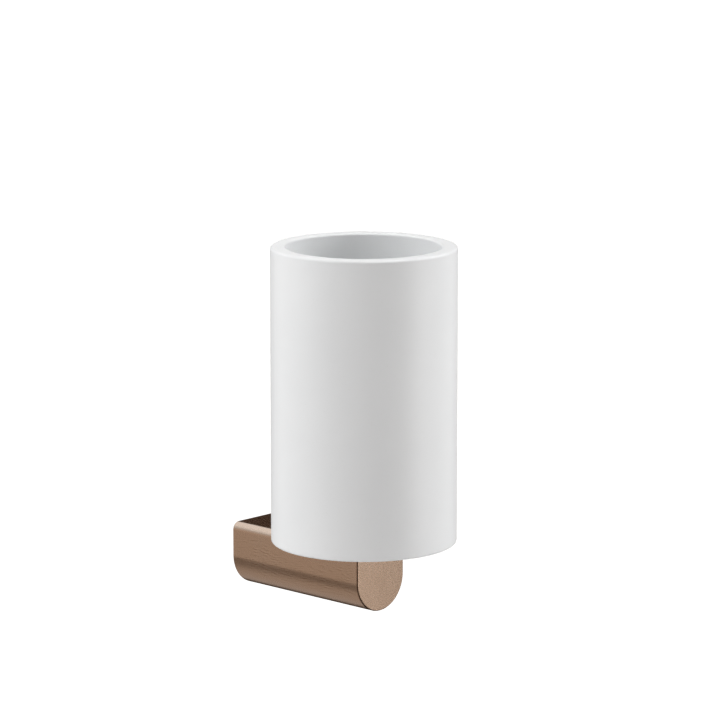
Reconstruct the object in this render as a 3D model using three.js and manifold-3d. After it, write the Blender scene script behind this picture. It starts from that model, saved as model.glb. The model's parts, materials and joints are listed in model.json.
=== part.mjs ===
// Wall-mounted tumbler holder: a round cup that stands on a short U-section arm.
// Millimetres, +Z up. The wall is the plane y = 0, the arm runs out along -Y and is centred on x = 0.

import * as THREE from 'three';
import { mergeVertices } from 'three/addons/utils/BufferGeometryUtils.js';
import Module from 'manifold-3d';

const wasm = await Module();
wasm.setup();

// Gaps
const seatGap = 0.3; // between pieces that touch when assembled
const slipGap = 0.35; // round the spigot, inside the cup's socket

// Arm
const armWidth = 25.2;
const armHeight = 25.6;
const armReach = 66.5; // wall to front end
const armTopRound = 3.0; // along both upper edges
const armEdgeRound = 0.45; // round both ends
const armTop = armHeight / 2;
const armBottom = -armHeight / 2;
const armWall = 2.2; // round the rear pocket
const pocketDepth = 10.5;

// Cup
const cupAxisY = -57.9;
const cupRadius = 35.0;
const cupHeight = 112.5;
const cupWall = 6.0;
const cupFloor = 9.5; // thickness of the base
const cupBase = armTop + seatGap;
const rimRoundOuter = 1.0;
const rimRoundInner = 0.9;
const footRound = 0.8;
const innerFloorRound = 5.0;

// Spigot that the cup drops over, its screw and its rings
const spigotRadius = 6.0;
const spigotStand = 4.4; // above the arm's top
const spigotSink = 1.2; // depth of its seat in the arm
const spigotTop = armTop + spigotStand;
const tappedRadius = 2.1;
const screwRadius = 1.8; // M4
const screwHeadRadius = 3.5;
const screwHeadHeight = 2.0;
const screwLength = 12.0;
const washerRadius = 3.5;
const washerThickness = 0.9;
const screwHeadSink = 3.8; // depth of the washer's seat in the spigot
const screwSeat = spigotTop - screwHeadSink + washerThickness + 2 * seatGap; // under the head
const ringCord = 0.5; // radius of the O-ring's cord
const ringRadius = 5.7; // radius of the O-ring's centre line
const ringHeight = 1.6; // O-ring above the arm's top
const grooveFloor = ringRadius - ringCord - seatGap;
const grooveHalf = ringCord + seatGap;

// Silicone seat ring and bonded socket in the cup's underside
const seatRadius = 11.0;
const seatThickness = 1.0;
const seatStep = seatThickness + seatGap;
const socketRadius = 8.3;
const socketBore = spigotRadius + slipGap;
const socketRoof = 1.2;
const socketBottom = cupBase + seatStep + seatGap;
const socketTop = spigotTop + 0.6 + socketRoof;

// Hidden wall bracket, its bonding pad and the set screw that locks the arm to it
const padThickness = 0.8;
const padHoleRadius = 3.0;
const bracketDepth = 8.0;
const bracketBack = -padThickness - seatGap;
const bracketFront = bracketBack - bracketDepth;
const bracketGap = 0.4; // to the pocket all round
const wallHoleHeights = [5.6, -4.8];
const wallHoleRadius = 2.05; // for 3.5 mm screws
const counterboreRadius = 3.6;
const counterboreDepth = 4.6;
const setScrewY = -5.6;
const setScrewTipRadius = 1.0;
const setScrewGroove = 1.2; // depth of the groove that its tip pulls into
const hexAcross = 2.0;

const turn = {
  cup: 72,
  ring: 36,
  fastener: 20,
};

const finishes = {
  ceramic: new THREE.MeshStandardMaterial({ color: 0xf0f0ec, roughness: 0.55, metalness: 0.0 }),
  bronze: new THREE.MeshStandardMaterial({ color: 0xa08672, roughness: 0.36, metalness: 1.0 }),
  silicone: new THREE.MeshStandardMaterial({ color: 0xd9dad6, roughness: 0.7, metalness: 0.0 }),
  nitrile: new THREE.MeshStandardMaterial({ color: 0x1c1c1d, roughness: 0.55, metalness: 0.0 }),
  nylon: new THREE.MeshStandardMaterial({ color: 0xe9e7df, roughness: 0.5, metalness: 0.0 }),
  foam: new THREE.MeshStandardMaterial({ color: 0x3c3d3f, roughness: 0.8, metalness: 0.0 }),
  stainless: new THREE.MeshStandardMaterial({ color: 0xb8b9ba, roughness: 0.32, metalness: 1.0 }),
  zincPlate: new THREE.MeshStandardMaterial({ color: 0xa9adb0, roughness: 0.45, metalness: 1.0 }),
};

// Turn a closed three.js geometry into a solid that can be joined and cut.
function solidOf(geometry) {
  geometry.deleteAttribute('normal');
  geometry.deleteAttribute('uv');
  const merged = mergeVertices(geometry, 1e-4);
  return new wasm.Manifold(new wasm.Mesh({
    numProp: 3,
    vertProperties: merged.attributes.position.array,
    triVerts: new Uint32Array(merged.index.array),
  }));
}

function geometryOf(solid) {
  const mesh = solid.getMesh();
  const geometry = new THREE.BufferGeometry();
  geometry.setAttribute('position', new THREE.BufferAttribute(mesh.vertProperties, 3));
  geometry.setIndex(new THREE.BufferAttribute(mesh.triVerts, 1));
  geometry.computeVertexNormals();
  return geometry;
}

function namedMesh(name, solid, material) {
  const mesh = new THREE.Mesh(geometryOf(solid), material);
  mesh.name = name;
  return mesh;
}

// Outline through corners [x, y, radius]; a corner with a radius becomes an arc of that radius.
function roundedOutline(corners, steps = 6) {
  const outline = [];
  const count = corners.length;
  corners.forEach(([x, y, radius], i) => {
    const corner = new THREE.Vector2(x, y);
    if (!radius) {
      outline.push(corner);
      return;
    }
    const [beforeX, beforeY] = corners[(i + count - 1) % count];
    const [afterX, afterY] = corners[(i + 1) % count];
    const back = new THREE.Vector2(beforeX, beforeY).sub(corner).normalize();
    const ahead = new THREE.Vector2(afterX, afterY).sub(corner).normalize();
    const half = Math.acos(back.dot(ahead)) / 2;
    const middle = back.clone().add(ahead).normalize();
    const centre = corner.clone().addScaledVector(middle, radius / Math.sin(half));
    const reach = radius / Math.tan(half);
    const start = corner.clone().addScaledVector(back, reach).sub(centre);
    const sweep = Math.PI - 2 * half;
    const side = Math.sign(back.cross(ahead)) * -1;
    for (let step = 0; step <= steps; step += 1) {
      const spoke = start.clone().rotateAround(new THREE.Vector2(), side * sweep * step / steps);
      outline.push(centre.clone().add(spoke));
    }
  });
  return outline.filter((point, i) => point.distanceTo(outline[(i + 1) % outline.length]) > 1e-6);
}

// Solid of revolution about Z from [radius, z, round] corners, listed anticlockwise.
function turnedOnZ(corners, segments, steps) {
  const outline = roundedOutline(corners, steps);
  outline.push(outline[0].clone());
  return solidOf(new THREE.LatheGeometry(outline, segments).rotateX(Math.PI / 2));
}

// Plain round bar about Z between two heights.
function barOnZ(radius, low, high, segments = turn.fastener) {
  return turnedOnZ([[0, low], [radius, low], [radius, high], [0, high]], segments);
}

// Plain round bar about Y between two depths.
function barOnY(radius, low, high) {
  const length = high - low;
  const bar = new THREE.CylinderGeometry(radius, radius, length, turn.fastener);
  return solidOf(bar.translate(0, low + length / 2, 0));
}

function block(sizeX, sizeY, sizeZ, x, y, z) {
  return solidOf(new THREE.BoxGeometry(sizeX, sizeY, sizeZ).translate(x, y, z));
}

// U-section of the arm, shrunk by inset, extruded from y = start towards the front.
function uSection(inset, start, length, topRound, edgeRound = 0) {
  const halfWidth = armWidth / 2 - inset;
  const top = armTop - inset;
  const bottom = armBottom + inset;
  const outline = roundedOutline([
    [-halfWidth, bottom, halfWidth],
    [halfWidth, bottom, halfWidth],
    [halfWidth, top, topRound],
    [-halfWidth, top, topRound],
  ], 12);
  const geometry = new THREE.ExtrudeGeometry(new THREE.Shape(outline), {
    depth: length - 2 * edgeRound,
    steps: 1,
    bevelEnabled: edgeRound > 0,
    bevelThickness: edgeRound,
    bevelSize: edgeRound,
    bevelOffset: -edgeRound,
    bevelSegments: 3,
  });
  geometry.translate(0, 0, edgeRound);
  geometry.rotateX(Math.PI / 2);
  geometry.translate(0, start, 0);
  return solidOf(geometry);
}

// Brushed U-section arm: pocket for the bracket behind, spigot seat and tapped hole in the top.
function holderArm() {
  const body = uSection(0, -seatGap, armReach - seatGap, armTopRound, armEdgeRound);
  const pocket = uSection(armWall, 1, pocketDepth + 1 + seatGap, 1.2);
  const seat = barOnZ(spigotRadius + seatGap, armTop - spigotSink, armTop + 1, turn.ring);
  const tappedEnd = screwSeat - screwLength - seatGap;
  const tapped = turnedOnZ([
    [0, tappedEnd - 2.2],
    [tappedRadius, tappedEnd - 1],
    [tappedRadius, armTop],
    [0, armTop],
  ], turn.fastener);
  const seatAndHole = seat.add(tapped).translate([0, cupAxisY, 0]);
  const setScrewHole = barOnZ(tappedRadius, armBottom - 1, armBottom + armWall + 1);
  return body.subtract(pocket).subtract(seatAndHole).subtract(setScrewHole.translate([0, setScrewY, 0]));
}

// Thick-walled round cup with a stepped recess in its underside.
function cup() {
  const innerRadius = cupRadius - cupWall;
  const rim = cupBase + cupHeight;
  const floor = cupBase + cupFloor;
  const step = cupBase + seatStep;
  const recessTop = socketTop + seatGap;
  const stepRadius = seatRadius + seatGap;
  const recessRadius = socketRadius + seatGap;
  return turnedOnZ([
    [0, recessTop, 0],
    [recessRadius, recessTop, 0],
    [recessRadius, step, 0],
    [stepRadius, step, 0],
    [stepRadius, cupBase, 0],
    [cupRadius, cupBase, footRound],
    [cupRadius, rim, rimRoundOuter],
    [innerRadius, rim, rimRoundInner],
    [innerRadius, floor, innerFloorRound],
    [0, floor, 0],
  ], turn.cup);
}

// Blind nylon bush, bonded into the cup's recess, that drops over the spigot.
function cupSocket() {
  return turnedOnZ([
    [0, socketTop - socketRoof, 0],
    [socketBore, socketTop - socketRoof, 0],
    [socketBore, socketBottom, 0],
    [socketRadius, socketBottom, 0.4],
    [socketRadius, socketTop, 0.4],
    [0, socketTop, 0],
  ], turn.ring, 3);
}

// Flat silicone ring that the cup rests on.
function seatRing() {
  const inner = spigotRadius + seatGap;
  return turnedOnZ([
    [inner, cupBase, 0],
    [seatRadius, cupBase, 0.3],
    [seatRadius, cupBase + seatThickness, 0.3],
    [inner, cupBase + seatThickness, 0],
  ], turn.ring, 3);
}

// Turned peg with a seat for its screw's head and a groove for the O-ring.
function locatingSpigot() {
  const bottom = armTop - spigotSink + seatGap;
  const groove = armTop + ringHeight;
  return turnedOnZ([
    [screwRadius + seatGap, bottom, 0],
    [spigotRadius, bottom, 0],
    [spigotRadius, groove - grooveHalf, 0],
    [grooveFloor, groove - grooveHalf, 0],
    [grooveFloor, groove + grooveHalf, 0],
    [spigotRadius, groove + grooveHalf, 0],
    [spigotRadius, spigotTop, 0.8],
    [screwHeadRadius + seatGap, spigotTop, 0],
    [screwHeadRadius + seatGap, spigotTop - screwHeadSink, 0],
    [screwRadius + seatGap, spigotTop - screwHeadSink, 0],
  ], turn.ring, 4);
}

// Nitrile O-ring that grips the socket lightly.
function spigotRing() {
  const points = [];
  const sides = 8;
  for (let i = 0; i <= sides; i += 1) {
    const angle = 2 * Math.PI * (i % sides) / sides;
    points.push(new THREE.Vector2(ringRadius + ringCord * Math.cos(angle), ringCord * Math.sin(angle)));
  }
  return solidOf(new THREE.LatheGeometry(points, turn.ring).rotateX(Math.PI / 2)
    .translate(0, 0, armTop + ringHeight));
}

// Hexagonal bar about Z, to cut a key's socket.
function hexBar(across, low, high) {
  const bar = new THREE.CylinderGeometry(across / Math.sqrt(3), across / Math.sqrt(3), high - low, 6);
  return solidOf(bar.rotateX(Math.PI / 2).translate(0, 0, (low + high) / 2));
}

// M4 socket-head screw that holds the spigot down.
function spigotScrew() {
  const top = screwSeat + screwHeadHeight;
  const tip = screwSeat - screwLength;
  const body = turnedOnZ([
    [0, tip, 0],
    [screwRadius - 0.5, tip, 0],
    [screwRadius, tip + 0.5, 0],
    [screwRadius, screwSeat, 0],
    [screwHeadRadius, screwSeat, 0],
    [screwHeadRadius, top, 0.3],
    [0, top, 0],
  ], turn.fastener, 3);
  return body.subtract(hexBar(2.5, top - 1.2, top + 1));
}

// Split spring washer under the screw's head.
function spigotWasher() {
  const low = screwSeat - seatGap - washerThickness;
  const high = low + washerThickness;
  const inner = screwRadius + seatGap;
  const ring = turnedOnZ([
    [inner, low],
    [washerRadius, low],
    [washerRadius, high],
    [inner, high],
  ], turn.ring);
  const split = block(3, 0.5, 4, 0, 0, 0).rotate([30, 0, 0]);
  return ring.subtract(split.translate([(inner + washerRadius) / 2, 0, (low + high) / 2]));
}

// Steel block on the wall that fits inside the arm's rear pocket; its two counterbored
// holes take wall screws where the pad alone is not trusted.
function wallBracket() {
  const inset = armWall + bracketGap;
  let bracket = uSection(inset, bracketBack, bracketDepth, 1.0);
  for (const height of wallHoleHeights) {
    const through = barOnY(wallHoleRadius, bracketFront - 1, bracketBack + 1);
    const headSeat = barOnY(counterboreRadius, bracketFront - 1, bracketFront + counterboreDepth);
    bracket = bracket.subtract(through.add(headSeat).translate([0, 0, height]));
  }
  const grooveTop = armBottom + inset + setScrewGroove;
  const grooveWidth = 2 * (setScrewTipRadius + 0.6);
  return bracket.subtract(block(armWidth, grooveWidth, 4, 0, setScrewY, grooveTop - 2));
}

// Foam bonding pad between the bracket and the wall, pierced where the screws would go.
function bondingPad() {
  let pad = uSection(armWall + bracketGap, 0, padThickness, 1.0);
  for (const height of wallHoleHeights) {
    pad = pad.subtract(barOnY(padHoleRadius, -padThickness - 1, 1).translate([0, 0, height]));
  }
  return pad;
}

// M4 hexagon-socket set screw, from the arm's underside into the bracket's groove.
function setScrew() {
  const face = armBottom + 0.5;
  const tip = armBottom + armWall + bracketGap + setScrewGroove - seatGap;
  const body = turnedOnZ([
    [0, face, 0],
    [screwRadius - 0.3, face, 0],
    [screwRadius, face + 0.3, 0],
    [screwRadius, tip - 1.2, 0],
    [setScrewTipRadius, tip, 0],
    [0, tip, 0],
  ], turn.fastener);
  return body.subtract(hexBar(hexAcross, face - 1, face + 1.6)).translate([0, setScrewY, 0]);
}

// The pieces on the cup's axis are made about Z and moved out along the arm.
const onCupAxis = new THREE.Group();
onCupAxis.position.y = cupAxisY;
onCupAxis.add(
  namedMesh('cup', cup(), finishes.ceramic),
  namedMesh('cup_socket', cupSocket(), finishes.nylon),
  namedMesh('seat_ring', seatRing(), finishes.silicone),
  namedMesh('locating_spigot', locatingSpigot(), finishes.stainless),
  namedMesh('spigot_o_ring', spigotRing(), finishes.nitrile),
  namedMesh('spigot_washer', spigotWasher(), finishes.stainless),
  namedMesh('spigot_screw', spigotScrew(), finishes.stainless),
);

const tumblerHolder = new THREE.Group();
tumblerHolder.add(
  onCupAxis,
  namedMesh('holder_arm', holderArm(), finishes.bronze),
  namedMesh('wall_bracket', wallBracket(), finishes.zincPlate),
  namedMesh('bonding_pad', bondingPad(), finishes.foam),
  namedMesh('set_screw', setScrew(), finishes.stainless),
);

export default tumblerHolder;
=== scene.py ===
import json
import math

import bmesh
import bpy
import numpy as np
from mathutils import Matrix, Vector


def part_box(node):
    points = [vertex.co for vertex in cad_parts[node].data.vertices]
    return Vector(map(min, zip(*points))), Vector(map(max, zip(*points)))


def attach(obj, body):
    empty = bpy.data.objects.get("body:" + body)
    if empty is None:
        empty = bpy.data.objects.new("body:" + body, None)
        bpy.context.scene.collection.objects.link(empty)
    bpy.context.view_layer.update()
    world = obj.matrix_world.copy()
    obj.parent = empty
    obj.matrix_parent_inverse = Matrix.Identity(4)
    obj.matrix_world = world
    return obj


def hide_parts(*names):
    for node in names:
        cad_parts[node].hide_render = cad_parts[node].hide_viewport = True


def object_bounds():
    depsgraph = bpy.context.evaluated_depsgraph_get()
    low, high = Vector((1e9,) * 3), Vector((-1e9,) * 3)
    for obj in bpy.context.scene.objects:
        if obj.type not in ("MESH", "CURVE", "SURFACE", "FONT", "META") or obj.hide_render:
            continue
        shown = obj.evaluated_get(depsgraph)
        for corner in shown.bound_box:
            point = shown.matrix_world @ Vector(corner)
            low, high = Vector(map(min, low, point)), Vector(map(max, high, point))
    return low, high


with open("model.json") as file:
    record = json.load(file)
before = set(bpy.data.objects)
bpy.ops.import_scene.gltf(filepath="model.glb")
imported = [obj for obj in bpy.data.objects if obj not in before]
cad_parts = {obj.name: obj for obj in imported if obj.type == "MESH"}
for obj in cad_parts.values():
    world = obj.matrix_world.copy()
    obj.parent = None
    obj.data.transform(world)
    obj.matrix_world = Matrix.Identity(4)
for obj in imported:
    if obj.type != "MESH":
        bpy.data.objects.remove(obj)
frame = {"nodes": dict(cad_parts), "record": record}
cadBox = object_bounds()
mm = 0.001
print("frame loaded:", len(frame["nodes"]), "nodes")


# places, all read from the frame
def middle(node):
    low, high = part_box(node)
    return (low + high) / 2


cupLow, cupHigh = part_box("cup")
armLow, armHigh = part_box("holder_arm")
axis = Vector((middle("cup").x, middle("cup").y, 0))  # the cup's upright axis
cupRadius = (cupHigh.x - cupLow.x) / 2


class Wire:  # a shader socket that can be added and multiplied
    def __init__(self, finish, socket):
        self.finish = finish
        self.socket = socket

    def maths(self, operation, first, second):
        return self.finish.node("ShaderNodeMath", {"operation": operation}, {0: first, 1: second})

    def __add__(self, other):
        return self.maths("ADD", self, other)

    def __radd__(self, other):
        return self.maths("ADD", other, self)

    def __mul__(self, other):
        return self.maths("MULTIPLY", self, other)

    def __rmul__(self, other):
        return self.maths("MULTIPLY", other, self)


class Finish:  # one material while it is put together
    def __init__(self, name):
        self.material = bpy.data.materials.new(name)
        self.material.use_nodes = True
        self.tree = self.material.node_tree
        self.tree.nodes.clear()
        self.place = self.node("ShaderNodeTexCoord", output="Object")

    def node(self, kind, settings=None, inputs=None, output=0):
        made = self.tree.nodes.new(kind)
        for key, value in (settings or {}).items():
            setattr(made, key, value)
        for key, value in (inputs or {}).items():
            if isinstance(value, Wire):
                self.tree.links.new(value.socket, made.inputs[key])
            else:
                made.inputs[key].default_value = value
        return Wire(self, made.outputs[output]) if made.outputs else made

    def placed(self, scale=(1, 1, 1), turn=(0, 0, 0), move=(0, 0, 0), of=None):
        inputs = {"Vector": of or self.place, "Scale": scale, "Rotation": turn, "Location": move}
        return self.node("ShaderNodeMapping", {}, inputs)

    def noise(self, vector, scale, detail, roughness, distortion=0.0):
        inputs = {"Vector": vector, "Scale": scale, "Detail": detail,
                  "Roughness": roughness, "Distortion": distortion}
        return self.node("ShaderNodeTexNoise", {}, inputs)

    def mix(self, share, first, second):
        colours = [c if isinstance(c, Wire) else (*c, 1) for c in (first, second)]
        inputs = {0: share, 6: colours[0], 7: colours[1]}
        return self.node("ShaderNodeMix", {"data_type": "RGBA"}, inputs, output=2)

    def within(self, value, low, high, toLow=0.0, toHigh=1.0):
        inputs = {"Value": value, "From Min": low, "From Max": high, "To Min": toLow, "To Max": toHigh}
        return self.node("ShaderNodeMapRange", {"clamp": True}, inputs)

    def bump(self, height, depth, strength, under=None):
        inputs = {"Height": height, "Distance": depth, "Strength": strength}
        if under:
            inputs["Normal"] = under
        return self.node("ShaderNodeBump", {}, inputs)

    def done(self, **inputs):
        named = {key.replace("_", " "): value for key, value in inputs.items()}
        for key, value in named.items():
            if "Color" in key and isinstance(value, tuple):
                named[key] = (*value, 1)
        shader = self.node("ShaderNodeBsdfPrincipled", {}, named)
        self.node("ShaderNodeOutputMaterial", {}, {"Surface": shader})
        return self.material


# finishes
ceramicLook = {
    "white": (0.845, 0.862, 0.872),
    "shade": (0.821, 0.839, 0.850),  # in the faint clouds
    "speck": (0.76, 0.76, 0.75),
    "speckShare": 0.35,
    "speckScale": 2200,
    "cloudScale": 28,
    "waveScale": (36, 36, 104),  # waves run round the cup
    "roughness": (0.36, 0.46),
    "grainSize": 0.22 * mm,
    "grainDepth": 0.006 * mm,
    "waveDepth": 0.05 * mm,
}


def cupCeramic():
    look = ceramicLook
    f = Finish("cupCeramic")
    cloud = f.noise(f.place, look["cloudScale"], 3, 0.55)
    fine = f.noise(f.place, 0.5 / look["grainSize"], 3, 0.6)
    speck = f.within(f.noise(f.place, look["speckScale"], 1, 0.4), 0.68, 0.76)
    wave = f.noise(f.placed(scale=look["waveScale"]), 1, 1, 0.4)
    colour = f.mix(f.within(cloud, 0.35, 0.7), look["white"], look["shade"])
    colour = f.mix(speck * look["speckShare"], colour, look["speck"])
    rough = f.within(fine * 0.6 + cloud * 0.4, 0.3, 0.7, *look["roughness"])
    slow = f.bump(wave, look["waveDepth"], 0.6)
    grain = f.bump(fine, look["grainDepth"], 1.0, slow)
    return f.done(Base_Color=colour, Roughness=rough, Normal=grain, IOR=1.5)


bronzeLook = {
    "bright": (0.60, 0.392, 0.265),
    "dark": (0.52, 0.335, 0.223),
    "endBright": (0.625, 0.446, 0.326),
    "endDark": (0.575, 0.402, 0.289),
    "paleWearAndHighlight": (0.70, 0.59, 0.50),  # pale tone for random wear, also the painted highlight along the top corners
    "edge": (0.20, 0.105, 0.06),  # painted dark reflection along the front edge
    "roughness": (0.24, 0.30),
    "streakWidth": 0.09 * mm,
    "streakLength": 5 * mm,
    "streakDepth": 0.0005 * mm,
    "endStreakLength": 1.6 * mm,
    "endTurn": math.radians(-14),  # the end face is brushed a little on the slant
    "grainScale": 5200,
    "patinaScale": 55,
    "highlightBelowTop": (2.6 * mm, 1.7 * mm),  # the painted highlight fades in between these depths under the top
    "highlightFromSide": (2.95 * mm, 2.6 * mm),  # and between these distances in from the sides
    "darkReflectionFromFront": (0.6 * mm, 0.35 * mm),  # the painted dark reflection fades in between these, behind the front
}


def bronze(name, turn, along, bright, dark):
    # Long thin noise: stretched along the brushing (axis number along, after the turn), squeezed across it.
    look = bronzeLook
    across = 1 / look["streakWidth"]
    length = 1 / look["streakLength" if along else "endStreakLength"]
    scale = [length if i == along else across for i in range(3)]
    longer = [0.35 * length if i == along else 0.3 * across for i in range(3)]
    f = Finish(name)
    turned = f.placed(turn=turn)
    streak = f.noise(f.placed(scale=scale, of=turned), 1, 4, 0.62)
    coarse = f.noise(f.placed(scale=longer, of=turned), 1, 2, 0.5)
    grain = f.noise(f.place, look["grainScale"], 2, 0.5)
    patina = f.noise(f.place, look["patinaScale"], 3, 0.5)
    share = f.within(streak * 0.4 + coarse * 0.15 + grain * 0.45, 0.3, 0.7)
    colour = f.mix(share, dark, bright)
    colour = f.mix(f.within(patina, 0.4, 0.75) * 0.08, colour, look["paleWearAndHighlight"])
    if along == 1:  # the long faces carry a painted highlight on the top corners and a painted dark reflection along the front edge
        x, y, z = (f.node("ShaderNodeSeparateXYZ", {}, {"Vector": f.place}, output=i) for i in range(3))
        sideways = f.node("ShaderNodeMath", {"operation": "ABSOLUTE"}, {0: x})
        high = f.within(z, *(armHigh.z - depth for depth in look["highlightBelowTop"]))
        outer = f.within(sideways, *(armHigh.x - depth for depth in look["highlightFromSide"]))
        # painted highlight: the rounded top corners made pale
        colour = f.mix(high * outer * (0.7 + 0.2 * streak), colour, look["paleWearAndHighlight"])
        # painted dark reflection: a thin dark band just behind the front face
        edge = f.within(y, *(armLow.y + depth for depth in look["darkReflectionFromFront"]))
        colour = f.mix(edge, colour, look["edge"])
    rough = f.within(streak * 0.5 + grain * 0.3 + patina * 0.2, 0.34, 0.66, *look["roughness"])
    relief = f.bump(streak * 0.5 + grain * 0.5, look["streakDepth"], 1.0)
    return f.done(Base_Color=colour, Metallic=1.0, Roughness=rough, Normal=relief)


steelLook = {
    "bright": (0.66, 0.65, 0.63),
    "dark": (0.48, 0.475, 0.465),
    "lineWidth": 0.09 * mm,
    "lineDepth": 0.004 * mm,
    "stainScale": 240,
}


def turnedSteel(name, centre, tint=(1, 1, 1), rough=(0.2, 0.36)):
    # Rings left by the lathe: noise read only from the distance to the axis and the height.
    look = steelLook
    f = Finish(name)
    flat = f.placed(move=(-centre[0], -centre[1], -centre[2]), scale=(1, 1, 0))
    radius = f.node("ShaderNodeVectorMath", {"operation": "LENGTH"}, {0: flat}, output=1)
    height = f.node("ShaderNodeSeparateXYZ", {}, {"Vector": f.place}, output=2)
    lines = f.node("ShaderNodeCombineXYZ", {}, {0: radius, 1: height, 2: 0.0})
    ring = f.noise(lines, 1 / look["lineWidth"], 3, 0.6)
    stain = f.noise(f.place, look["stainScale"], 3, 0.55)
    bright = tuple(a * b for a, b in zip(look["bright"], tint))
    dark = tuple(a * b for a, b in zip(look["dark"], tint))
    colour = f.mix(f.within(ring * 0.6 + stain * 0.4, 0.35, 0.65), dark, bright)
    roughness = f.within(ring * 0.5 + stain * 0.5, 0.3, 0.7, *rough)
    return f.done(Base_Color=colour, Metallic=1.0, Roughness=roughness,
                  Normal=f.bump(ring, look["lineDepth"], 1.0))


zincLook = {
    "dark": (0.44, 0.46, 0.49),
    "bright": (0.66, 0.68, 0.70),
    "yellowed": (0.62, 0.60, 0.48),
    "yellowShare": 0.35,
    "roughness": (0.28, 0.5),
    "arcScale": 900.0,
    "arcCentre": (0.03, 0, 0.01),  # metres
    "mottleScale": 420,
    "tintScale": 90,
    "reliefDepth": 0.006 * mm,
}


def milledZinc():
    # Arcs of a milling cutter under mottled plating.
    look = zincLook
    f = Finish("milledZinc")
    turned = f.placed(move=look["arcCentre"], turn=(math.pi / 2, 0, 0))
    arcs = f.node("ShaderNodeTexWave", {"wave_type": "RINGS", "rings_direction": "Z"},
                  {"Vector": turned, "Scale": look["arcScale"], "Distortion": 0.6, "Detail": 2.0})
    mottle = f.noise(f.place, look["mottleScale"], 4, 0.6)
    tint = f.noise(f.place, look["tintScale"], 2, 0.5)
    colour = f.mix(f.within(mottle, 0.35, 0.65), look["dark"], look["bright"])
    colour = f.mix(f.within(tint, 0.4, 0.7) * look["yellowShare"], colour, look["yellowed"])
    rough = f.within(arcs * 0.4 + mottle * 0.6, 0.2, 0.8, *look["roughness"])
    relief = f.bump(arcs * 0.5 + mottle * 0.5, look["reliefDepth"], 1.0)
    return f.done(Base_Color=colour, Metallic=1.0, Roughness=rough, Normal=relief)


blackSteelLook = {
    "dark": (0.018, 0.018, 0.02),
    "grey": (0.055, 0.054, 0.055),
    "rubbed": (0.28, 0.27, 0.26),
    "rubShare": 0.5,
    "metallic": 0.9,
    "roughness": (0.32, 0.55),
    "mottleScale": 900,
    "rubScale": 2600,
    "reliefDepth": 0.006 * mm,
}


def blackSteel():
    look = blackSteelLook
    f = Finish("blackSteel")
    mottle = f.noise(f.place, look["mottleScale"], 4, 0.6)
    rub = f.within(f.noise(f.place, look["rubScale"], 2, 0.5), 0.62, 0.75)
    colour = f.mix(mottle, look["dark"], look["grey"])
    colour = f.mix(rub * look["rubShare"], colour, look["rubbed"])
    rough = f.within(mottle, 0.3, 0.7, *look["roughness"])
    relief = f.bump(mottle, look["reliefDepth"], 1.0)
    return f.done(Base_Color=colour, Metallic=look["metallic"], Roughness=rough, Normal=relief)


nylonLook = {
    "cream": (0.74, 0.725, 0.66),
    "pale": (0.82, 0.81, 0.76),
    "roughness": (0.42, 0.6),
    "sparkScale": 3800,  # spark-eroded mould texture
    "sparkDepth": 0.01 * mm,
    "flowScale": 160,
    "flowSquash": (1, 1, 3),
    "glow": 0.15,
    "glowRadius": (1.0 * mm, 1.0 * mm, 0.8 * mm),
}


def mouldedNylon():
    look = nylonLook
    f = Finish("mouldedNylon")
    sparks = f.noise(f.place, look["sparkScale"], 2, 0.6)
    flow = f.noise(f.placed(scale=look["flowSquash"]), look["flowScale"], 3, 0.5, 0.4)
    colour = f.mix(f.within(flow, 0.35, 0.65), look["cream"], look["pale"])
    rough = f.within(sparks * 0.5 + flow * 0.5, 0.3, 0.7, *look["roughness"])
    relief = f.bump(sparks, look["sparkDepth"], 1.0)
    return f.done(Base_Color=colour, Roughness=rough, Normal=relief,
                  Subsurface_Weight=look["glow"], Subsurface_Radius=look["glowRadius"])


siliconeLook = {
    "dull": (0.60, 0.61, 0.60),
    "clear": (0.72, 0.73, 0.71),
    "dust": (0.86, 0.86, 0.84),
    "dustShare": 0.4,
    "roughness": (0.45, 0.7),
    "hazeScale": 300,
    "dustScale": 2400,
    "hazeDepth": 0.02 * mm,
    "glow": 0.3,
    "glowRadius": (2 * mm, 2 * mm, 2 * mm),
}


def softSilicone():
    look = siliconeLook
    f = Finish("softSilicone")
    haze = f.noise(f.place, look["hazeScale"], 3, 0.5)
    dust = f.within(f.noise(f.place, look["dustScale"], 2, 0.6), 0.6, 0.8)
    colour = f.mix(f.within(haze, 0.35, 0.65), look["dull"], look["clear"])
    colour = f.mix(dust * look["dustShare"], colour, look["dust"])
    rough = f.within(haze * 0.6 + dust * 0.4, 0.1, 0.8, *look["roughness"])
    relief = f.bump(haze, look["hazeDepth"], 0.7)
    return f.done(Base_Color=colour, Roughness=rough, Normal=relief,
                  Subsurface_Weight=look["glow"], Subsurface_Radius=look["glowRadius"])


nitrileLook = {
    "black": (0.012, 0.012, 0.013),
    "soft": (0.03, 0.03, 0.031),
    "bloom": (0.09, 0.09, 0.088),
    "bloomShare": 0.35,
    "roughness": (0.38, 0.62),
    "skinScale": 1500,
    "bloomScale": 260,
    "skinDepth": 0.01 * mm,
}


def blackNitrile():
    look = nitrileLook
    f = Finish("blackNitrile")
    skin = f.noise(f.place, look["skinScale"], 3, 0.55)
    bloom = f.within(f.noise(f.place, look["bloomScale"], 3, 0.6), 0.5, 0.8)
    colour = f.mix(skin, look["black"], look["soft"])
    colour = f.mix(bloom * look["bloomShare"], colour, look["bloom"])
    rough = f.within(skin * 0.5 + bloom * 0.5, 0.1, 0.7, *look["roughness"])
    return f.done(Base_Color=colour, Roughness=rough, Normal=f.bump(skin, look["skinDepth"], 0.8))


foamLook = {
    "cellMiddle": (0.10, 0.102, 0.108),
    "cellEdge": (0.03, 0.031, 0.034),
    "blotch": (0.14, 0.14, 0.145),
    "blotchShare": 0.3,
    "roughness": (0.62, 0.9),
    "cellScale": 3200.0,
    "blotchScale": 500,
    "cellDepth": 0.06 * mm,
}


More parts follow.
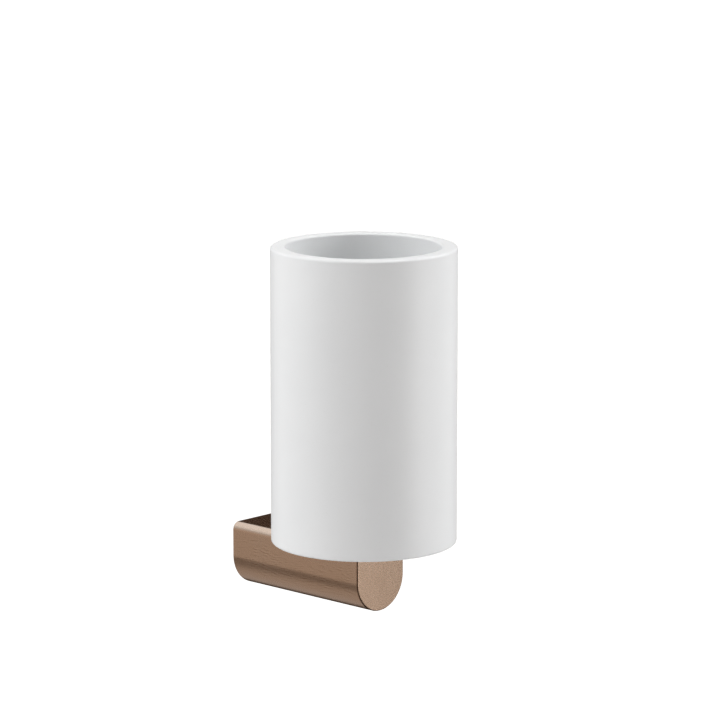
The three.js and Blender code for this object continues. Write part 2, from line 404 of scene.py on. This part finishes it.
def bondingFoam():
    look = foamLook
    f = Finish("bondingFoam")
    cells = f.node("ShaderNodeTexVoronoi", {"feature": "F1"}, {"Vector": f.place, "Scale": look["cellScale"]})
    blotch = f.noise(f.place, look["blotchScale"], 3, 0.6)
    colour = f.mix(cells, look["cellMiddle"], look["cellEdge"])
    colour = f.mix(f.within(blotch, 0.4, 0.7) * look["blotchShare"], colour, look["blotch"])
    rough = f.within(cells * 0.6 + blotch * 0.4, 0.1, 0.8, *look["roughness"])
    return f.done(Base_Color=colour, Roughness=rough, Normal=f.bump(cells, look["cellDepth"], 0.9))


print("finishes ready")


# surfaces
weldDistance = 0.0001 * mm
edgeHold = 0.03 * mm  # from a rounded edge to the row that keeps the flat beside it flat


def gridMesh(name, points, wrapRows=True):
    # A sheet of rows x columns of points, closed round its columns and, if asked, from last row to first.
    # Rows that shrink to one point are welded there, so a pole is closed.
    rows, columns = points.shape[:2]
    index = np.arange(rows * columns).reshape(rows, columns)
    if wrapRows:
        index = np.vstack([index, index[:1]])
    index = np.hstack([index, index[:, :1]])
    quads = np.stack([index[:-1, :-1], index[:-1, 1:], index[1:, 1:], index[1:, :-1]], -1).reshape(-1, 4)
    mesh = bpy.data.meshes.new(name)
    mesh.vertices.add(rows * columns)
    mesh.vertices.foreach_set("co", points.astype(np.float32).ravel())
    mesh.loops.add(quads.size)
    mesh.loops.foreach_set("vertex_index", quads.ravel().astype(np.int32))
    mesh.polygons.add(len(quads))
    mesh.polygons.foreach_set("loop_start", np.arange(0, quads.size, 4, dtype=np.int32))
    mesh.update(calc_edges=True)
    weld(mesh)
    return mesh


def weld(mesh):
    # Joins points that stand on one another, which closes seams and poles.
    work = bmesh.new()
    work.from_mesh(mesh)
    bmesh.ops.remove_doubles(work, verts=work.verts, dist=weldDistance)
    work.to_mesh(mesh)
    work.free()


def smooth(mesh, angle):
    # Smooth shading, except across edges sharper than the angle in degrees.
    mesh.polygons.foreach_set("use_smooth", np.ones(len(mesh.polygons), bool))
    mesh.set_sharp_from_angle(angle=math.radians(angle))
    mesh.update()


def outline(corners, steps, hold=0.0):
    # Points through corners (x, y, radius): a corner with a radius becomes an arc that touches both sides.
    # hold adds a point that far before and after each arc, which keeps the flats flat when shaded.
    found = []
    count = len(corners)
    for i, (x, y, radius) in enumerate(corners):
        here = np.array([x, y], float)
        if radius <= 0:
            found.append(here[None])
            continue
        back = np.array(corners[i - 1][:2], float) - here
        ahead = np.array(corners[(i + 1) % count][:2], float) - here
        back, ahead = back / np.linalg.norm(back), ahead / np.linalg.norm(ahead)
        half = math.acos(float(back @ ahead)) / 2
        centre = here + (back + ahead) / np.linalg.norm(back + ahead) * radius / math.sin(half)
        start = here + back * radius / math.tan(half) - centre
        sweep = (math.pi - 2 * half) * -np.sign(back[0] * ahead[1] - back[1] * ahead[0])
        angle = np.linspace(0, sweep, steps + 1)
        arc = centre + np.stack([start[0] * np.cos(angle) - start[1] * np.sin(angle),
                                 start[0] * np.sin(angle) + start[1] * np.cos(angle)], 1)
        ends = [arc[:1] + back * hold, arc[-1:] + ahead * hold] if hold else [arc[:0], arc[:0]]
        found += [ends[0], arc, ends[1]]
    return np.vstack(found)


def revolve(profile, centre, columns, shape=None):
    # Surface of revolution: profile point (r, z) at angle a goes to (x + r cos a, y + r sin a, z).
    # shape(r, z, a) may give another radius, for threads, knurls and hexagons.
    angle = np.linspace(0, 2 * np.pi, columns, endpoint=False)[None]
    radius, height = profile[:, :1], profile[:, 1:] + 0 * angle
    radius = shape(radius, height, angle) if shape else radius + 0 * angle
    return np.stack([centre[0] + radius * np.cos(angle), centre[1] + radius * np.sin(angle), height], -1)


def piece(name, mesh, node, slot, *finishes):
    # Puts the mesh in the scene as the finer form of one node, moving with that node's body.
    made = bpy.data.objects.new(name, mesh)
    bpy.context.scene.collection.objects.link(made)
    for finish in finishes:
        mesh.materials.append(finish)
    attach(made, next(b for b, nodes in frame["record"]["behaviour"]["bodies"].items() if node in nodes))
    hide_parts(node)


def cut(mesh, *tools):
    # Takes closed tool meshes out of a closed mesh.
    body = bpy.data.objects.new("body", mesh)
    bpy.context.scene.collection.objects.link(body)
    extra = [body]
    for tool in tools:
        cutter = bpy.data.objects.new("cutter", tool)
        bpy.context.scene.collection.objects.link(cutter)
        extra.append(cutter)
        step = body.modifiers.new("cut", "BOOLEAN")
        step.operation, step.solver, step.object = "DIFFERENCE", "EXACT", cutter
    bpy.context.view_layer.update()
    done = bpy.data.meshes.new_from_object(body.evaluated_get(bpy.context.evaluated_depsgraph_get()))
    for thing in extra:
        bpy.data.objects.remove(thing)
    weld(done)
    return done


def hexagon(across):
    # Radius of a hexagon with that distance across its flats, at each angle.
    return lambda a: across / 2 / np.cos((a + np.pi / 6) % (np.pi / 3) - np.pi / 6)


# the cup
cupShape = {
    "wall": 6.0 * mm,
    "floor": 9.5 * mm,
    "rimOuter": 1.0 * mm,
    "rimInner": 0.9 * mm,
    "foot": 0.8 * mm,
    "innerFloor": 5.0 * mm,
    "stepRadius": 11.3 * mm,
    "stepDepth": 1.3 * mm,
    "recessRadius": 8.6 * mm,
    "recessRound": 0.35 * mm,
    "bondGap": 0.3 * mm,  # over the socket
    "columns": 240,
}


def makeCup():
    # Profile of the thick wall, floor and stepped recess, turned about the cup's axis.
    s = cupShape
    inner = cupRadius - s["wall"]
    foot, rim = cupLow.z, cupHigh.z
    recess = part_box("cup_socket")[1].z + s["bondGap"]
    small = s["recessRound"]
    points = outline([
        (0, recess, 0),
        (s["recessRadius"], recess, small),
        (s["recessRadius"], foot + s["stepDepth"], small),
        (s["stepRadius"], foot + s["stepDepth"], small),
        (s["stepRadius"], foot, small),
        (cupRadius, foot, s["foot"]),
        (cupRadius, rim, s["rimOuter"]),
        (inner, rim, s["rimInner"]),
        (inner, foot + s["floor"], s["innerFloor"]),
        (0, foot + s["floor"], 0),
    ], 14, edgeHold)
    mesh = gridMesh("cupBody", revolve(points, axis, s["columns"]), wrapRows=False)
    smooth(mesh, 40)
    piece("cupBody", mesh, "cup", "cup_ceramic", cupCeramic())


makeCup()
print("cup made")


# the arm
armShape = {
    "topRound": 3.0 * mm,
    "frontEdge": 0.45 * mm,
    "backEdge": 0.3 * mm,
    "lip": 0.3 * mm,  # bevel round the pocket's mouth
    "wall": 2.2 * mm,
    "pocketDepth": 10.8 * mm,
    "pocketRound": 1.2 * mm,
    "seatRadius": 6.3 * mm,
    "seatDepth": 1.2 * mm,
    "seatBevel": 0.3 * mm,
    "tappedRadius": 2.1 * mm,
    "tappedBevel": 0.4 * mm,
    "drillPoint": 1.2 * mm,
    "belowScrew": 1.3 * mm,  # how far the tapped hole goes on past the screw's tip
}


def uOutline(inset, topRound):
    # U-section shrunk by inset: half circle below, straight sides, flat top with rounded corners.
    # Anticlockwise seen from the front, always with the same number of points.
    half = (armHigh.x - armLow.x) / 2
    springing = armLow.z + half
    wide, top = half - inset, armHigh.z - inset
    hold = edgeHold
    below = np.linspace(-np.pi, 0, 73)
    corner = np.linspace(0, np.pi / 2, 19)
    side = np.array([springing + hold, (springing + top - topRound) / 2, top - topRound - hold])
    across = np.array([wide - topRound - hold, 0, -wide + topRound + hold])
    arcX, arcZ = topRound * np.cos(corner), topRound * np.sin(corner)
    x = np.concatenate([wide * np.cos(below), [wide] * 3, wide - topRound + arcX, across,
                        -wide + topRound - arcX[::-1], [-wide] * 3])
    z = np.concatenate([springing + wide * np.sin(below), side, top - topRound + arcZ, [top] * 3,
                        top - topRound + arcZ[::-1], side[::-1]])
    return np.stack([x, z], 1)


def makeArm():
    # Rows run from the pocket's floor out over the rear lip and forward along the outside to the front face.
    s = armShape
    back, front = armHigh.y, armLow.y
    pocketEnd = -s["pocketDepth"]
    middleZ = (armLow.z + armHigh.z) / 2
    quarter = np.linspace(0, np.pi / 2, 9)
    near, hair = 0.05 * mm, 0.01 * mm
    rows = [(s["wall"], pocketEnd), (s["wall"], pocketEnd + near), (s["wall"], back - s["lip"] - near)]
    rows += [(s["wall"] - s["lip"] * a, back - s["lip"] * (1 - a)) for a in (0, 0.5, 1)]
    rows += [(s["backEdge"] + edgeHold, back)]
    rows += [(s["backEdge"] * (1 - math.sin(a)), back - s["backEdge"] * (1 - math.cos(a))) for a in quarter]
    edge = s["frontEdge"]
    lengths = np.linspace(back - s["backEdge"] - edgeHold, front + edge + edgeHold, 24)
    rows += [(0, y) for y in lengths]
    rows += [(edge * (1 - math.cos(a)), front + edge * (1 - math.sin(a))) for a in quarter]
    rows += [(edge + edgeHold, front)]
    sheets = []
    for inset, y in rows:
        topRound = s["pocketRound"] if inset > s["wall"] - s["lip"] - hair else s["topRound"] - inset
        ring = uOutline(inset, topRound)
        sheets.append(np.stack([ring[:, 0], np.full(len(ring), y), ring[:, 1]], 1))
    for place, y in ((0, pocketEnd), (len(sheets) + 1, front)):  # both flat ends close on one point
        sheets.insert(place, np.broadcast_to([0, y, middleZ], sheets[1].shape))
    mesh = gridMesh("armBody", np.array(sheets), wrapRows=False)
    top, bottom = armHigh.z, armLow.z
    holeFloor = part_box("spigot_screw")[0].z - s["belowScrew"]
    seatFloor, bevel = top - s["seatDepth"], s["tappedBevel"]
    seatMouth = s["seatRadius"] + s["seatBevel"]
    seat = outline([
        (0, holeFloor - s["drillPoint"], 0),
        (s["tappedRadius"], holeFloor, 0),
        (s["tappedRadius"], seatFloor - bevel, 0),
        (s["tappedRadius"] + bevel, seatFloor, 0),
        (s["seatRadius"], seatFloor, 0.15 * mm),
        (s["seatRadius"], top - 0.2 * mm, 0),
        (seatMouth, top + 0.1 * mm, 0),
        (seatMouth, top + mm, 0),
        (0, top + mm, 0),
    ], 5)
    screwHole = outline([
        (0, bottom - mm, 0),
        (s["tappedRadius"] + bevel + near, bottom - mm, 0),
        (s["tappedRadius"] + bevel + near, bottom - near, 0),
        (s["tappedRadius"], bottom + bevel - near, 0),
        (s["tappedRadius"], bottom + s["wall"] + mm, 0),
        (0, bottom + s["wall"] + mm, 0),
    ], 4)
    tools = [gridMesh("tool", revolve(seat, axis, 96), wrapRows=False),
             gridMesh("tool", revolve(screwHole, middle("set_screw"), 64), wrapRows=False)]
    mesh = cut(mesh, *tools)
    smooth(mesh, 30)
    look = bronzeLook
    piece("armBody", mesh, "holder_arm", "brushed_bronze",
          bronze("bronzeAlong", (0, 0, 0), 1, look["bright"], look["dark"]),
          bronze("bronzeEnd", (0, look["endTurn"], 0), 0, look["endBright"], look["endDark"]),
          bronze("bronzeMilled", (0, 0, 0), 2, look["bright"], look["dark"]))
    normal = np.zeros(len(mesh.polygons) * 3, np.float32)
    centre = np.zeros_like(normal)
    mesh.polygons.foreach_get("normal", normal)
    mesh.polygons.foreach_get("center", centre)
    normal, centre = normal.reshape(-1, 3), centre.reshape(-1, 3)
    kind = np.zeros(len(mesh.polygons), np.int32)
    kind[np.abs(normal[:, 1]) > 0.98] = 1  # flat ends
    reach = s["wall"] - near
    pocket = (centre[:, 1] > pocketEnd - 2 * near) & (centre[:, 1] < back - hair)
    pocket &= np.abs(centre[:, 0]) < armHigh.x - reach
    pocket &= (centre[:, 2] < top - reach) & (centre[:, 2] > bottom + reach)
    kind[pocket] = 2
    mesh.polygons.foreach_set("material_index", kind)


makeArm()
print("arm made")


# the spigot, its screw, washer and ring
spigotShape = {
    "bore": 2.1 * mm,
    "headSeat": 3.8 * mm,  # radius of the seat for the washer and the screw's head
    "headDepth": 3.8 * mm,
    "topRound": 0.8 * mm,
    "grooveFloor": 4.9 * mm,
    "ringCord": 0.5 * mm,
    "grooveHalf": 0.8 * mm,
    "threadPitch": 0.7 * mm,
    "threadDepth": 0.36 * mm,
    "washerRise": 0.12 * mm,
    "washerRound": 0.12 * mm,
    "washerGap": 0.14,  # radians
    "washerSlant": 0.35,
    "screwRoot": 1.6 * mm,
    "screwHead": 2.0 * mm,  # height
    "socketRadius": 1.25 * mm,
    "socketDepth": 1.2 * mm,
    "knurlDepth": 0.07 * mm,
    "knurls": 24,  # half as many as the ridges
}


def makeSpigot():
    # Turned peg: bore, head seat and O-ring groove on one closed profile.
    s = spigotShape
    low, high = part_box("locating_spigot")
    radius = (high.x - low.x) / 2
    ring = middle("spigot_o_ring").z
    floor = high.z - s["headDepth"]
    points = outline([
        (s["bore"], low.z, 0.2 * mm),
        (radius, low.z, 0.3 * mm),
        (radius, ring - s["grooveHalf"], 0.1 * mm),
        (s["grooveFloor"], ring - s["grooveHalf"], 0.15 * mm),
        (s["grooveFloor"], ring + s["grooveHalf"], 0.15 * mm),
        (radius, ring + s["grooveHalf"], 0.1 * mm),
        (radius, high.z, s["topRound"]),
        (s["headSeat"], high.z, 0.2 * mm),
        (s["headSeat"], floor, 0.15 * mm),
        (s["bore"], floor, 0.15 * mm),
    ], 8, 0.02 * mm)
    mesh = gridMesh("spigotBody", revolve(points, axis, 128))
    smooth(mesh, 40)
    piece("spigotBody", mesh, "locating_spigot", "spigot_steel", turnedSteel("spigotSteel", axis))


def makeRing():
    # Torus: a circle of the cord's radius carried round the spigot's groove.
    s = spigotShape
    low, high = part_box("spigot_o_ring")
    major = (high.x - low.x) / 2 - s["ringCord"]
    angle = np.linspace(0, 2 * np.pi, 32, endpoint=False)
    points = np.stack([major + s["ringCord"] * np.cos(angle),
                       (low.z + high.z) / 2 + s["ringCord"] * np.sin(angle)], 1)
    mesh = gridMesh("spigotRing", revolve(points, axis, 144))
    smooth(mesh, 60)
    piece("spigotRing", mesh, "spigot_o_ring", "nitrile_rubber", blackNitrile())


def makeWasher():
    # Split spring washer: a square wire section carried nearly once round, its ends a little apart in height.
    s = spigotShape
    low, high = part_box("spigot_washer")
    outer, inner = (high.x - low.x) / 2, s["bore"] + 0.05 * mm
    thick = high.z - low.z - s["washerRise"]
    corner = s["washerRound"]
    section = outline([(inner, 0, corner), (outer, 0, corner),
                       (outer, thick, corner), (inner, thick, corner)], 4, 0.02 * mm)
    turn = np.linspace(s["washerGap"] / 2, 2 * np.pi - s["washerGap"] / 2, 97)
    radius, height = section[:, 0][None], section[:, 1][None]
    rise = (turn / (2 * np.pi) * s["washerRise"])[:, None]
    lean = s["washerSlant"] * (height - thick / 2) / outer  # the split is cut on the slant
    angle = turn[:, None] + lean
    rings = np.stack([axis.x + radius * np.cos(angle), axis.y + radius * np.sin(angle),
                      low.z + height + rise], -1)
    ends = [np.broadcast_to(rings[i].mean(0), rings[i].shape)[None] for i in (0, -1)]
    mesh = gridMesh("spigotWasher", np.vstack([ends[0], rings, ends[1]])[::-1], wrapRows=False)
    smooth(mesh, 40)
    piece("spigotWasher", mesh, "spigot_washer", "screw_steel",
          turnedSteel("washerSteel", axis, (0.86, 0.87, 0.9)))


def threaded(low, high, root, depth, pitch):
    # Radius of a vee thread: root plus depth times how near the point is to the crest line,
    # which climbs one pitch each turn. The thread dies out within one pitch of both ends.
    def shape(radius, height, angle):
        phase = ((height - low) / pitch - angle / (2 * np.pi)) % 1
        crest = np.clip(1.15 - np.abs(phase - 0.5) * 2.3, 0, 1)
        fade = np.clip(np.minimum(height - low, high - height) / pitch, 0, 1)
        inside = (height > low) & (height < high) & (radius > root * 0.9)
        return np.where(inside, root + depth * crest * fade, radius + 0 * angle)
    return shape


def makeSpigotScrew():
    # Socket-head screw: thread, knurled head and hexagon socket are radius rules on one profile.
    s = spigotShape
    low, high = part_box("spigot_screw")
    headRadius = (high.x - low.x) / 2
    under, root, bore = high.z - s["screwHead"], s["screwRoot"], s["socketRadius"]
    socketFloor = high.z - s["socketDepth"]
    chamfer, tiny = 0.3 * mm, 0.001 * mm
    thread = threaded(low.z + chamfer, under - 2 * chamfer, root, s["threadDepth"], s["threadPitch"])
    hexRadius = hexagon(2 * bore)
    shank = np.stack([np.full(150, root), np.linspace(low.z + chamfer, under - chamfer, 150)], 1)
    head = outline([(root, under, 0.1 * mm), (headRadius, under, 0.15 * mm), (headRadius, high.z, chamfer),
                    (1.75 * mm, high.z, 0.1 * mm), (bore, high.z - chamfer, 0)], 6, 0.02 * mm)[:-1]
    socketTop = high.z - 0.35 * mm
    socket = np.array([(bore, socketTop), (bore, socketFloor), (0, socketFloor - 0.4 * mm)])
    points = np.vstack([[(0, low.z), (root - chamfer, low.z)], shank, head, socket])

    def shape(radius, height, angle):
        threadRadius = thread(radius, height, angle)
        inSocket = (np.abs(radius - bore) < tiny) & (height > socketFloor - tiny)
        knurled = (radius > headRadius - 0.05 * mm) & (height < socketTop)
        bite = s["knurlDepth"] * np.abs(np.sin(angle * s["knurls"])) * knurled
        return np.where(inSocket, hexRadius(angle), threadRadius) - bite

    mesh = gridMesh("spigotScrew", revolve(points, axis, 192, shape), wrapRows=False)
    smooth(mesh, 35)
    piece("spigotScrew", mesh, "spigot_screw", "screw_steel",
          turnedSteel("screwSteel", axis, (0.95, 0.96, 1.0), (0.16, 0.3)))


makeSpigot()
makeRing()
makeWasher()
makeSpigotScrew()
print("spigot, ring, washer and screw made")


# the cup's socket and seat ring
softShape = {
    "socketBore": 6.35 * mm,
    "socketRoof": 1.2 * mm,
    "socketRound": 0.4 * mm,
    "ringInner": 6.3 * mm,
    "ringRound": 0.3 * mm,
    "ringInnerRound": 0.15 * mm,
    "dips": 4,  # rings pressed into its top, which leave fine lips between them
    "dipDepth": 0.12 * mm,
}


def makeSocket():
    # Blind bush: one profile from the pole inside the roof round to the pole on top of it.
    s = softShape
    low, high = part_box("cup_socket")
    radius = (high.x - low.x) / 2
    bore, roof = s["socketBore"], high.z - s["socketRoof"]
    points = outline([
        (0, roof, 0),
        (bore, roof, 0.3 * mm),
        (bore, low.z, 0.35 * mm),
        (radius, low.z, s["socketRound"]),
        (radius, high.z, s["socketRound"]),
        (0, high.z, 0),
    ], 8, 0.02 * mm)
    mesh = gridMesh("cupSocket", revolve(points, axis, 128), wrapRows=False)
    smooth(mesh, 40)
    piece("cupSocket", mesh, "cup_socket", "socket_nylon", mouldedNylon())


def makeSeatRing():
    # Flat ring with soft edges. Its top is lowered by a cosine of the distance from the bore.
    s = softShape
    low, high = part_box("seat_ring")
    radius, inner = (high.x - low.x) / 2, s["ringInner"]
    outerRound, innerRound, margin = s["ringRound"], s["ringInnerRound"], 0.05 * mm
    across = np.linspace(radius - outerRound - margin, inner + innerRound + margin, 60)
    wave = np.cos((across - inner) / (radius - inner) * 2 * s["dips"] * np.pi)
    dip = s["dipDepth"] * (0.5 - 0.5 * wave)
    top = np.stack([across, high.z - 0.02 * mm - dip], 1)
    arcSteps = 6
    half = 2 * (arcSteps + 1)  # points on the two outer rounds
    rim = outline([(radius, low.z, outerRound), (radius, high.z, outerRound),
                   (inner, high.z, innerRound), (inner, low.z, innerRound)], arcSteps)
    points = np.vstack([rim[:half], top, rim[half:]])
    mesh = gridMesh("seatRing", revolve(points, axis, 144))
    smooth(mesh, 50)
    piece("seatRing", mesh, "seat_ring", "seat_silicone", softSilicone())


makeSocket()
makeSeatRing()
print("socket and seat ring made")


# what is hidden against the wall
bracketShape = {
    "edge": 0.4 * mm,
    "topRound": 1.0 * mm,
    "holeRadius": 2.05 * mm,
    "counterbore": 3.6 * mm,
    "counterboreDepth": 4.6 * mm,
    "holes": (5.6 * mm, -4.8 * mm),  # heights
    "padHole": 3.0 * mm,
    "grooveDepth": 1.2 * mm,
    "grooveWidth": 3.2 * mm,
    "grooveHalfLength": 12 * mm,  # past both sides of the block
    "bevel": 0.3 * mm,
    "padEdge": 0.12 * mm,
}


def uBlock(name, node, edge):
    # The U-section carried from its front face to its back face with small rounded edges.
    low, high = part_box(node)
    inset = armHigh.x - high.x
    quarter = np.linspace(0, np.pi / 2, 6)
    rows = [(edge + 0.02 * mm, high.y)]
    rows += [(edge * (1 - math.sin(a)), high.y - edge * (1 - math.cos(a))) for a in quarter]
    rows += [(edge * (1 - math.cos(a)), low.y + edge * (1 - math.sin(a))) for a in quarter]
    rows += [(edge + 0.02 * mm, low.y)]
    sheets = []
    for shrink, y in rows:
        ring = uOutline(inset + shrink, bracketShape["topRound"])
        sheets.append(np.stack([ring[:, 0], np.full(len(ring), y), ring[:, 1]], 1))
    for place, y in ((0, high.y), (len(sheets) + 1, low.y)):
        sheets.insert(place, np.broadcast_to([0, y, (low.z + high.z) / 2], sheets[1].shape))
    return gridMesh(name, np.array(sheets), wrapRows=False)


def borer(radii, height):
    # A stepped round tool about Y: (radius, y) pairs from back to front.
    angle = np.linspace(0, 2 * np.pi, 64, endpoint=False)[None]
    radius, y = np.array(radii).T[:, :, None]
    points = np.stack([radius * np.cos(angle), y + 0 * angle, height + radius * np.sin(angle)], -1)
    return gridMesh("tool", points, wrapRows=False)


def makeBracket():
    # The block less two stepped bores and a groove across its underside for the set screw.
    s = bracketShape
    low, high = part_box("wall_bracket")
    bevel, step = s["bevel"], low.y + s["counterboreDepth"]
    back, front = high.y + mm, low.y - mm
    hole, wide, mouth = s["holeRadius"], s["counterbore"], s["counterbore"] + bevel
    bore = [(0, back), (hole, back), (hole, step), (wide, step), (wide, low.y + bevel),
            (mouth, low.y - 0.01 * mm), (mouth, front), (0, front)]
    tools = [borer(bore, height) for height in s["holes"]]
    screw = middle("set_screw").y
    half, roof = s["grooveWidth"] / 2, low.z + s["grooveDepth"]
    groove = outline([(screw - half, low.z - 2 * mm, 0), (screw + half, low.z - 2 * mm, 0),
                      (screw + half, roof, 0.3 * mm), (screw - half, roof, 0.3 * mm)], 5)
    sides = np.array([-1, 1]) * s["grooveHalfLength"]
    rings = [np.stack([np.full(len(groove), x), groove[:, 0], groove[:, 1]], 1) for x in sides]
    caps = [np.broadcast_to([x, screw, low.z - 0.5 * mm], rings[0].shape) for x in sides]
    tools.append(gridMesh("tool", np.array([caps[0], *rings, caps[1]]), wrapRows=False))
    mesh = cut(uBlock("wallBracket", "wall_bracket", s["edge"]), *tools)
    smooth(mesh, 32)
    piece("wallBracket", mesh, "wall_bracket", "plated_bracket", milledZinc())


def makePad():
    # The same section, thin, less a plain hole at each screw.
    s = bracketShape
    low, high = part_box("bonding_pad")
    back, front, hole = high.y + mm, low.y - mm, s["padHole"]
    bore = [(0, back), (hole, back), (hole, front), (0, front)]
    tools = [borer(bore, height) for height in s["holes"]]
    mesh = cut(uBlock("bondingPad", "bonding_pad", s["padEdge"]), *tools)
    smooth(mesh, 32)
    piece("bondingPad", mesh, "bonding_pad", "bonding_foam", bondingFoam())


setScrewShape = {
    "socketRadius": 1.0 * mm,
    "socketDepth": 1.6 * mm,
    "coneHeight": 1.2 * mm,
    "tipRadius": 0.8 * mm,
    "chamfer": 0.15 * mm,
    "threadDepth": 0.25 * mm,
    "threadPitch": 0.7 * mm,
}


def makeSetScrew():
    # Headless screw, socket face down: pole of the socket, hexagon walls, thread, cone tip.
    s = setScrewShape
    low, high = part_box("set_screw")
    bore, tip, tiny = s["socketRadius"], s["tipRadius"], 0.001 * mm
    hexRadius = hexagon(2 * bore)
    root = (high.x - low.x) / 2 - s["threadDepth"]
    socketTop, coneStart, start = low.z + s["socketDepth"], high.z - s["coneHeight"], low.z + s["chamfer"]
    thread = threaded(start, coneStart, root, s["threadDepth"], s["threadPitch"])
    wall = np.stack([np.full(40, root), np.linspace(start, coneStart, 40)], 1)
    points = np.vstack([[(0, socketTop + 0.3 * mm), (bore, socketTop), (bore, start),
                         (bore + 0.25 * mm, low.z), (root - s["chamfer"], low.z)], wall,
                        [(tip + 0.1 * mm, high.z - 0.05 * mm), (tip, high.z), (0, high.z)]])

    def shape(radius, height, angle):
        inSocket = np.abs(radius - bore) < tiny
        return np.where(inSocket, hexRadius(angle), thread(radius, height, angle))

    mesh = gridMesh("setScrew", revolve(points, middle("set_screw"), 96, shape), wrapRows=False)
    smooth(mesh, 32)
    piece("setScrew", mesh, "set_screw", "black_steel", blackSteel())


makeBracket()
makePad()
makeSetScrew()
print("bracket, pad and set screw made")


# cove and lamps
studio = {
    "floor": -1.2,  # metres
    "reach": 3.6,
    "coveRound": 1.4,
    "ceilingRound": 2.16,
    "white": (0.97, 0.97, 0.965),
    "glow": 1.05,
    "lampDistance": 1.2,
    "notMirrored": ("keyLeft", "rightUpper", "lowLeft", "frontRight"),  # strong lamps kept out of reflections
    "worldColour": (1.0, 0.67, 0.48),
    "worldStrength": 0.048,
}
view = {  # for the camera below; the lamps are placed round it
    "azimuth": -46.51,  # degrees round the object, from straight in front
    "pitch": 11.03,  # degrees below level
    "lens": 195.5,
    "sensor": 36,
    "clip": (0.05, 200),
    "distance": 1.4349,  # level distance to the cup's axis
    "above": 0.3489,  # over the cup's foot
    "aside": 0.0015,  # the cup's axis is this far right of the middle
}
centre = (cadBox[0] + cadBox[1]) / 2
lamps = [  # name, turned from the camera, elevation, degrees wide, degrees high, brightness
    ("keyLeft", 294, 60, 26, 26, 10.8),
    ("leftCard", 283, 0, 45, 40, 0.585),
    ("leftUpper", 283, 30, 39, 20, 1.05),
    ("overBack", 224, 44, 60, 32, 1),
    ("lowBand", 238, -50, 58, 20, 0.44),
    ("bandFill", 262, -31, 40, 16, 0.2),
    ("leftBack", 238, 0, 26, 46, 0.6),
    ("lowLeft", 303, -42, 38, 38, 3.75),
    ("rightKey", 75, 0, 27, 40, 2.2),
    ("rightUpper", 105, 38, 21, 36, 7.4),
    ("rightLow", 105, -38, 21, 36, 1.05),
    ("rightBack", 126, 0, 26, 46, 0.43),
    ("frontRight", 55, 0, 40, 38, 1.6),
    ("frontCard", 46, 0, 50, 50, 0.5),
    ("frontUp", 0, 40, 35, 30, 0.12),
    ("frontLow", 0, -48, 50, 38, 0.23),
]


def direction(azimuth, elevation):
    # Unit vector from the object towards a place that far round from the front and that far up, in degrees.
    a, e = math.radians(azimuth), math.radians(elevation)
    return Vector((math.sin(a) * math.cos(e), -math.cos(a) * math.cos(e), math.sin(e)))


def makeLamp(name, turned, elevation, wide, high, brightness):
    # A card facing the object; its power keeps the same brightness at any size.
    data = bpy.data.lights.new(name, "AREA")
    data.shape = "RECTANGLE"
    halves = [math.radians(angle) / 2 for angle in (wide, high)]
    data.size, data.size_y = (2 * studio["lampDistance"] * math.tan(half) for half in halves)
    data.energy = brightness * data.size * data.size_y * math.pi
    lamp = bpy.data.objects.new(name, data)
    bpy.context.scene.collection.objects.link(lamp)
    away = direction(view["azimuth"] + turned, elevation)
    lamp.location = centre + away * studio["lampDistance"]
    lamp.rotation_mode = "QUATERNION"
    lamp.rotation_quaternion = away.to_track_quat("Z", "Y")
    lamp.visible_camera = False
    lamp.visible_glossy = name not in studio["notMirrored"]


def makeCove():
    # A pale floor that curves up into walls and a ceiling, one profile turned about the object.
    s = studio
    height = s["reach"]  # of the ceiling
    points = outline([(0, s["floor"], 0), (s["reach"], s["floor"], s["coveRound"]),
                      (s["reach"], height, s["ceilingRound"]), (0, height, 0)], 16)
    mesh = gridMesh("paleCove", revolve(points[::-1], centre, 96), wrapRows=False)
    smooth(mesh, 60)
    cove = bpy.data.objects.new("paleCove", mesh)
    bpy.context.scene.collection.objects.link(cove)
    f = Finish("paleCove")
    shade = f.within(f.noise(f.place, 3, 2, 0.5), 0.3, 0.7, 0.8, 0.9)
    mesh.materials.append(f.done(Base_Color=s["white"], Roughness=shade, Emission_Color=s["white"],
                                 Emission_Strength=s["glow"]))
    # The lamps and the faint world light alone light the object.
    cove.visible_diffuse = cove.visible_glossy = cove.visible_shadow = False


def makeWorld():
    # A faint warm glow from all round, which the metal mirrors.
    world = bpy.data.worlds.new("studio")
    bpy.context.scene.world = world
    world.use_nodes = True
    back = world.node_tree.nodes["Background"]
    back.inputs["Color"].default_value = (*studio["worldColour"], 1)
    back.inputs["Strength"].default_value = studio["worldStrength"]


makeCove()
makeWorld()
for lamp in lamps:
    makeLamp(*lamp)
bpy.context.scene.view_settings.view_transform = "Standard"
print("studio ready")


# camera
def makeCamera():
    data = bpy.data.cameras.new("camera")
    data.lens, data.sensor_width = view["lens"], view["sensor"]
    data.clip_start, data.clip_end = view["clip"]
    camera = bpy.data.objects.new("camera", data)
    bpy.context.scene.collection.objects.link(camera)
    ahead = -direction(view["azimuth"], 0)
    right = ahead.cross(Vector((0, 0, 1)))
    camera.location = axis - ahead * view["distance"] - right * view["aside"]
    camera.location.z = cupLow.z + view["above"]
    camera.rotation_mode = "QUATERNION"
    camera.rotation_quaternion = (-direction(view["azimuth"], view["pitch"])).to_track_quat("-Z", "Y")
    bpy.context.scene.camera = camera


makeCamera()
print("camera ready")
